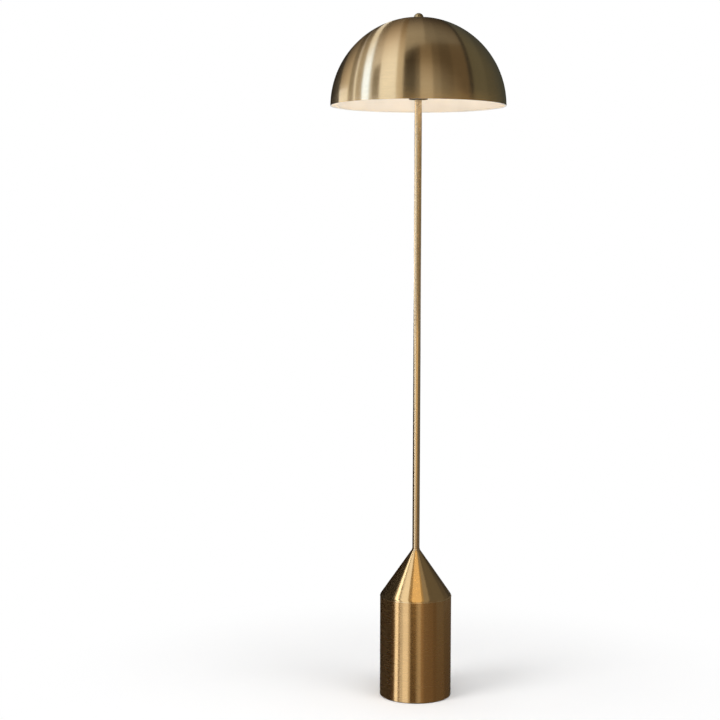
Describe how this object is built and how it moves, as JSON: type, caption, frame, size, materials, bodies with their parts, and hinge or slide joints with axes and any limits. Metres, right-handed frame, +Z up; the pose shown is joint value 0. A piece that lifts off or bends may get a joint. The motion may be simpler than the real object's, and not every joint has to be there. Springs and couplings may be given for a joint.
{
  "type": "mushroom floor lamp",
  "caption": "Floor lamp with a brushed brass hemispherical shade on a slim pole over a weighted drum base with a conical top; the finial, shade and bulb come off.",
  "frame": {"origin": "on the lamp's axis at floor level", "axes": "+Z up along the pole, +Y towards the back, where the cord enters the drum"},
  "size_m": [0.3823, 0.3824, 1.5014],
  "materials": {
    "antique_brass": "brushed antique brass, lacquered",
    "shade_brass": "brushed antique brass outside, white paint inside",
    "zinc_steel": "zinc plated",
    "weight_iron": "black dipped casting",
    "felt": "felt",
    "black_plastic": "moulded",
    "cord_sheath": "sheath",
    "holder_plastic": "phenolic moulding",
    "porcelain": "glazed",
    "contact_brass": "stamped",
    "cap_aluminium": "rolled",
    "solder": "solder",
    "insulator_glass": "black glass",
    "opal_glass": "opal, lit"
  },
  "bodies": {
    "stand": {"base_pad": "felt", "base_plate": "antique_brass", "base_weight": "weight_iron", "base_drum": "antique_brass", "base_cone": "antique_brass", "apex_washer": "zinc_steel", "tie_rod": "zinc_steel", "rod_nuts": "zinc_steel", "rod_washers": "zinc_steel", "cord_gland": "black_plastic", "gland_nut": "black_plastic", "inner_cord": "cord_sheath", "pole_collar": "antique_brass", "pole_lower": "antique_brass", "pole_middle": "antique_brass", "pole_upper": "antique_brass", "pole_bushes": "zinc_steel", "pole_nipples": "zinc_steel", "top_nipple": "zinc_steel", "holder_disc": "antique_brass", "neck_spacer": "antique_brass", "harp_saddle": "zinc_steel", "harp": "antique_brass", "harp_ferrules": "antique_brass", "harp_stud": "antique_brass", "holder_cap": "holder_plastic", "holder_skirt": "holder_plastic", "holder_core": "porcelain", "holder_shell": "contact_brass", "holder_contact": "contact_brass", "holder_screws": "zinc_steel", "holder_locknut": "zinc_steel"},
    "shade": {"shade": "shade_brass", "shade_ring": "zinc_steel"},
    "finial_washer": {"finial_washer": "antique_brass"},
    "finial": {"finial": "antique_brass"},
    "bulb_foot": {"bulb_tip": "solder", "bulb_insulator": "insulator_glass"},
    "bulb": {"bulb_cap": "cap_aluminium", "bulb_glass": "opal_glass"}
  },
  "joints": [
    {"name": "shade_lift", "type": "slide", "parent": "stand", "child": "shade", "axis": [0, 0, 1], "range_m": [0, 0.21]},
    {"name": "finial_rise", "type": "slide", "parent": "shade", "child": "finial_washer", "axis": [0, 0, 1], "range_m": [0, 0.00752]},
    {"name": "finial_turn", "type": "hinge", "parent": "finial_washer", "child": "finial", "pos_m": [0, 0, 1.4934], "axis": [0, 0, 1], "range_deg": [0, 2880]},
    {"name": "bulb_rise", "type": "slide", "parent": "stand", "child": "bulb_foot", "axis": [0, 0, 1], "range_m": [0, 0.01815]},
    {"name": "bulb_turn", "type": "hinge", "parent": "bulb_foot", "child": "bulb", "pos_m": [0, 0, 1.3535], "axis": [0, 0, 1], "range_deg": [0, 1800]}
  ],
  "couplings": [
    {"joint": "finial_turn", "follows": "finial_rise", "rad_per_m": 6684.2},
    {"joint": "bulb_turn", "follows": "bulb_rise", "rad_per_m": 1730.9}
  ]
}
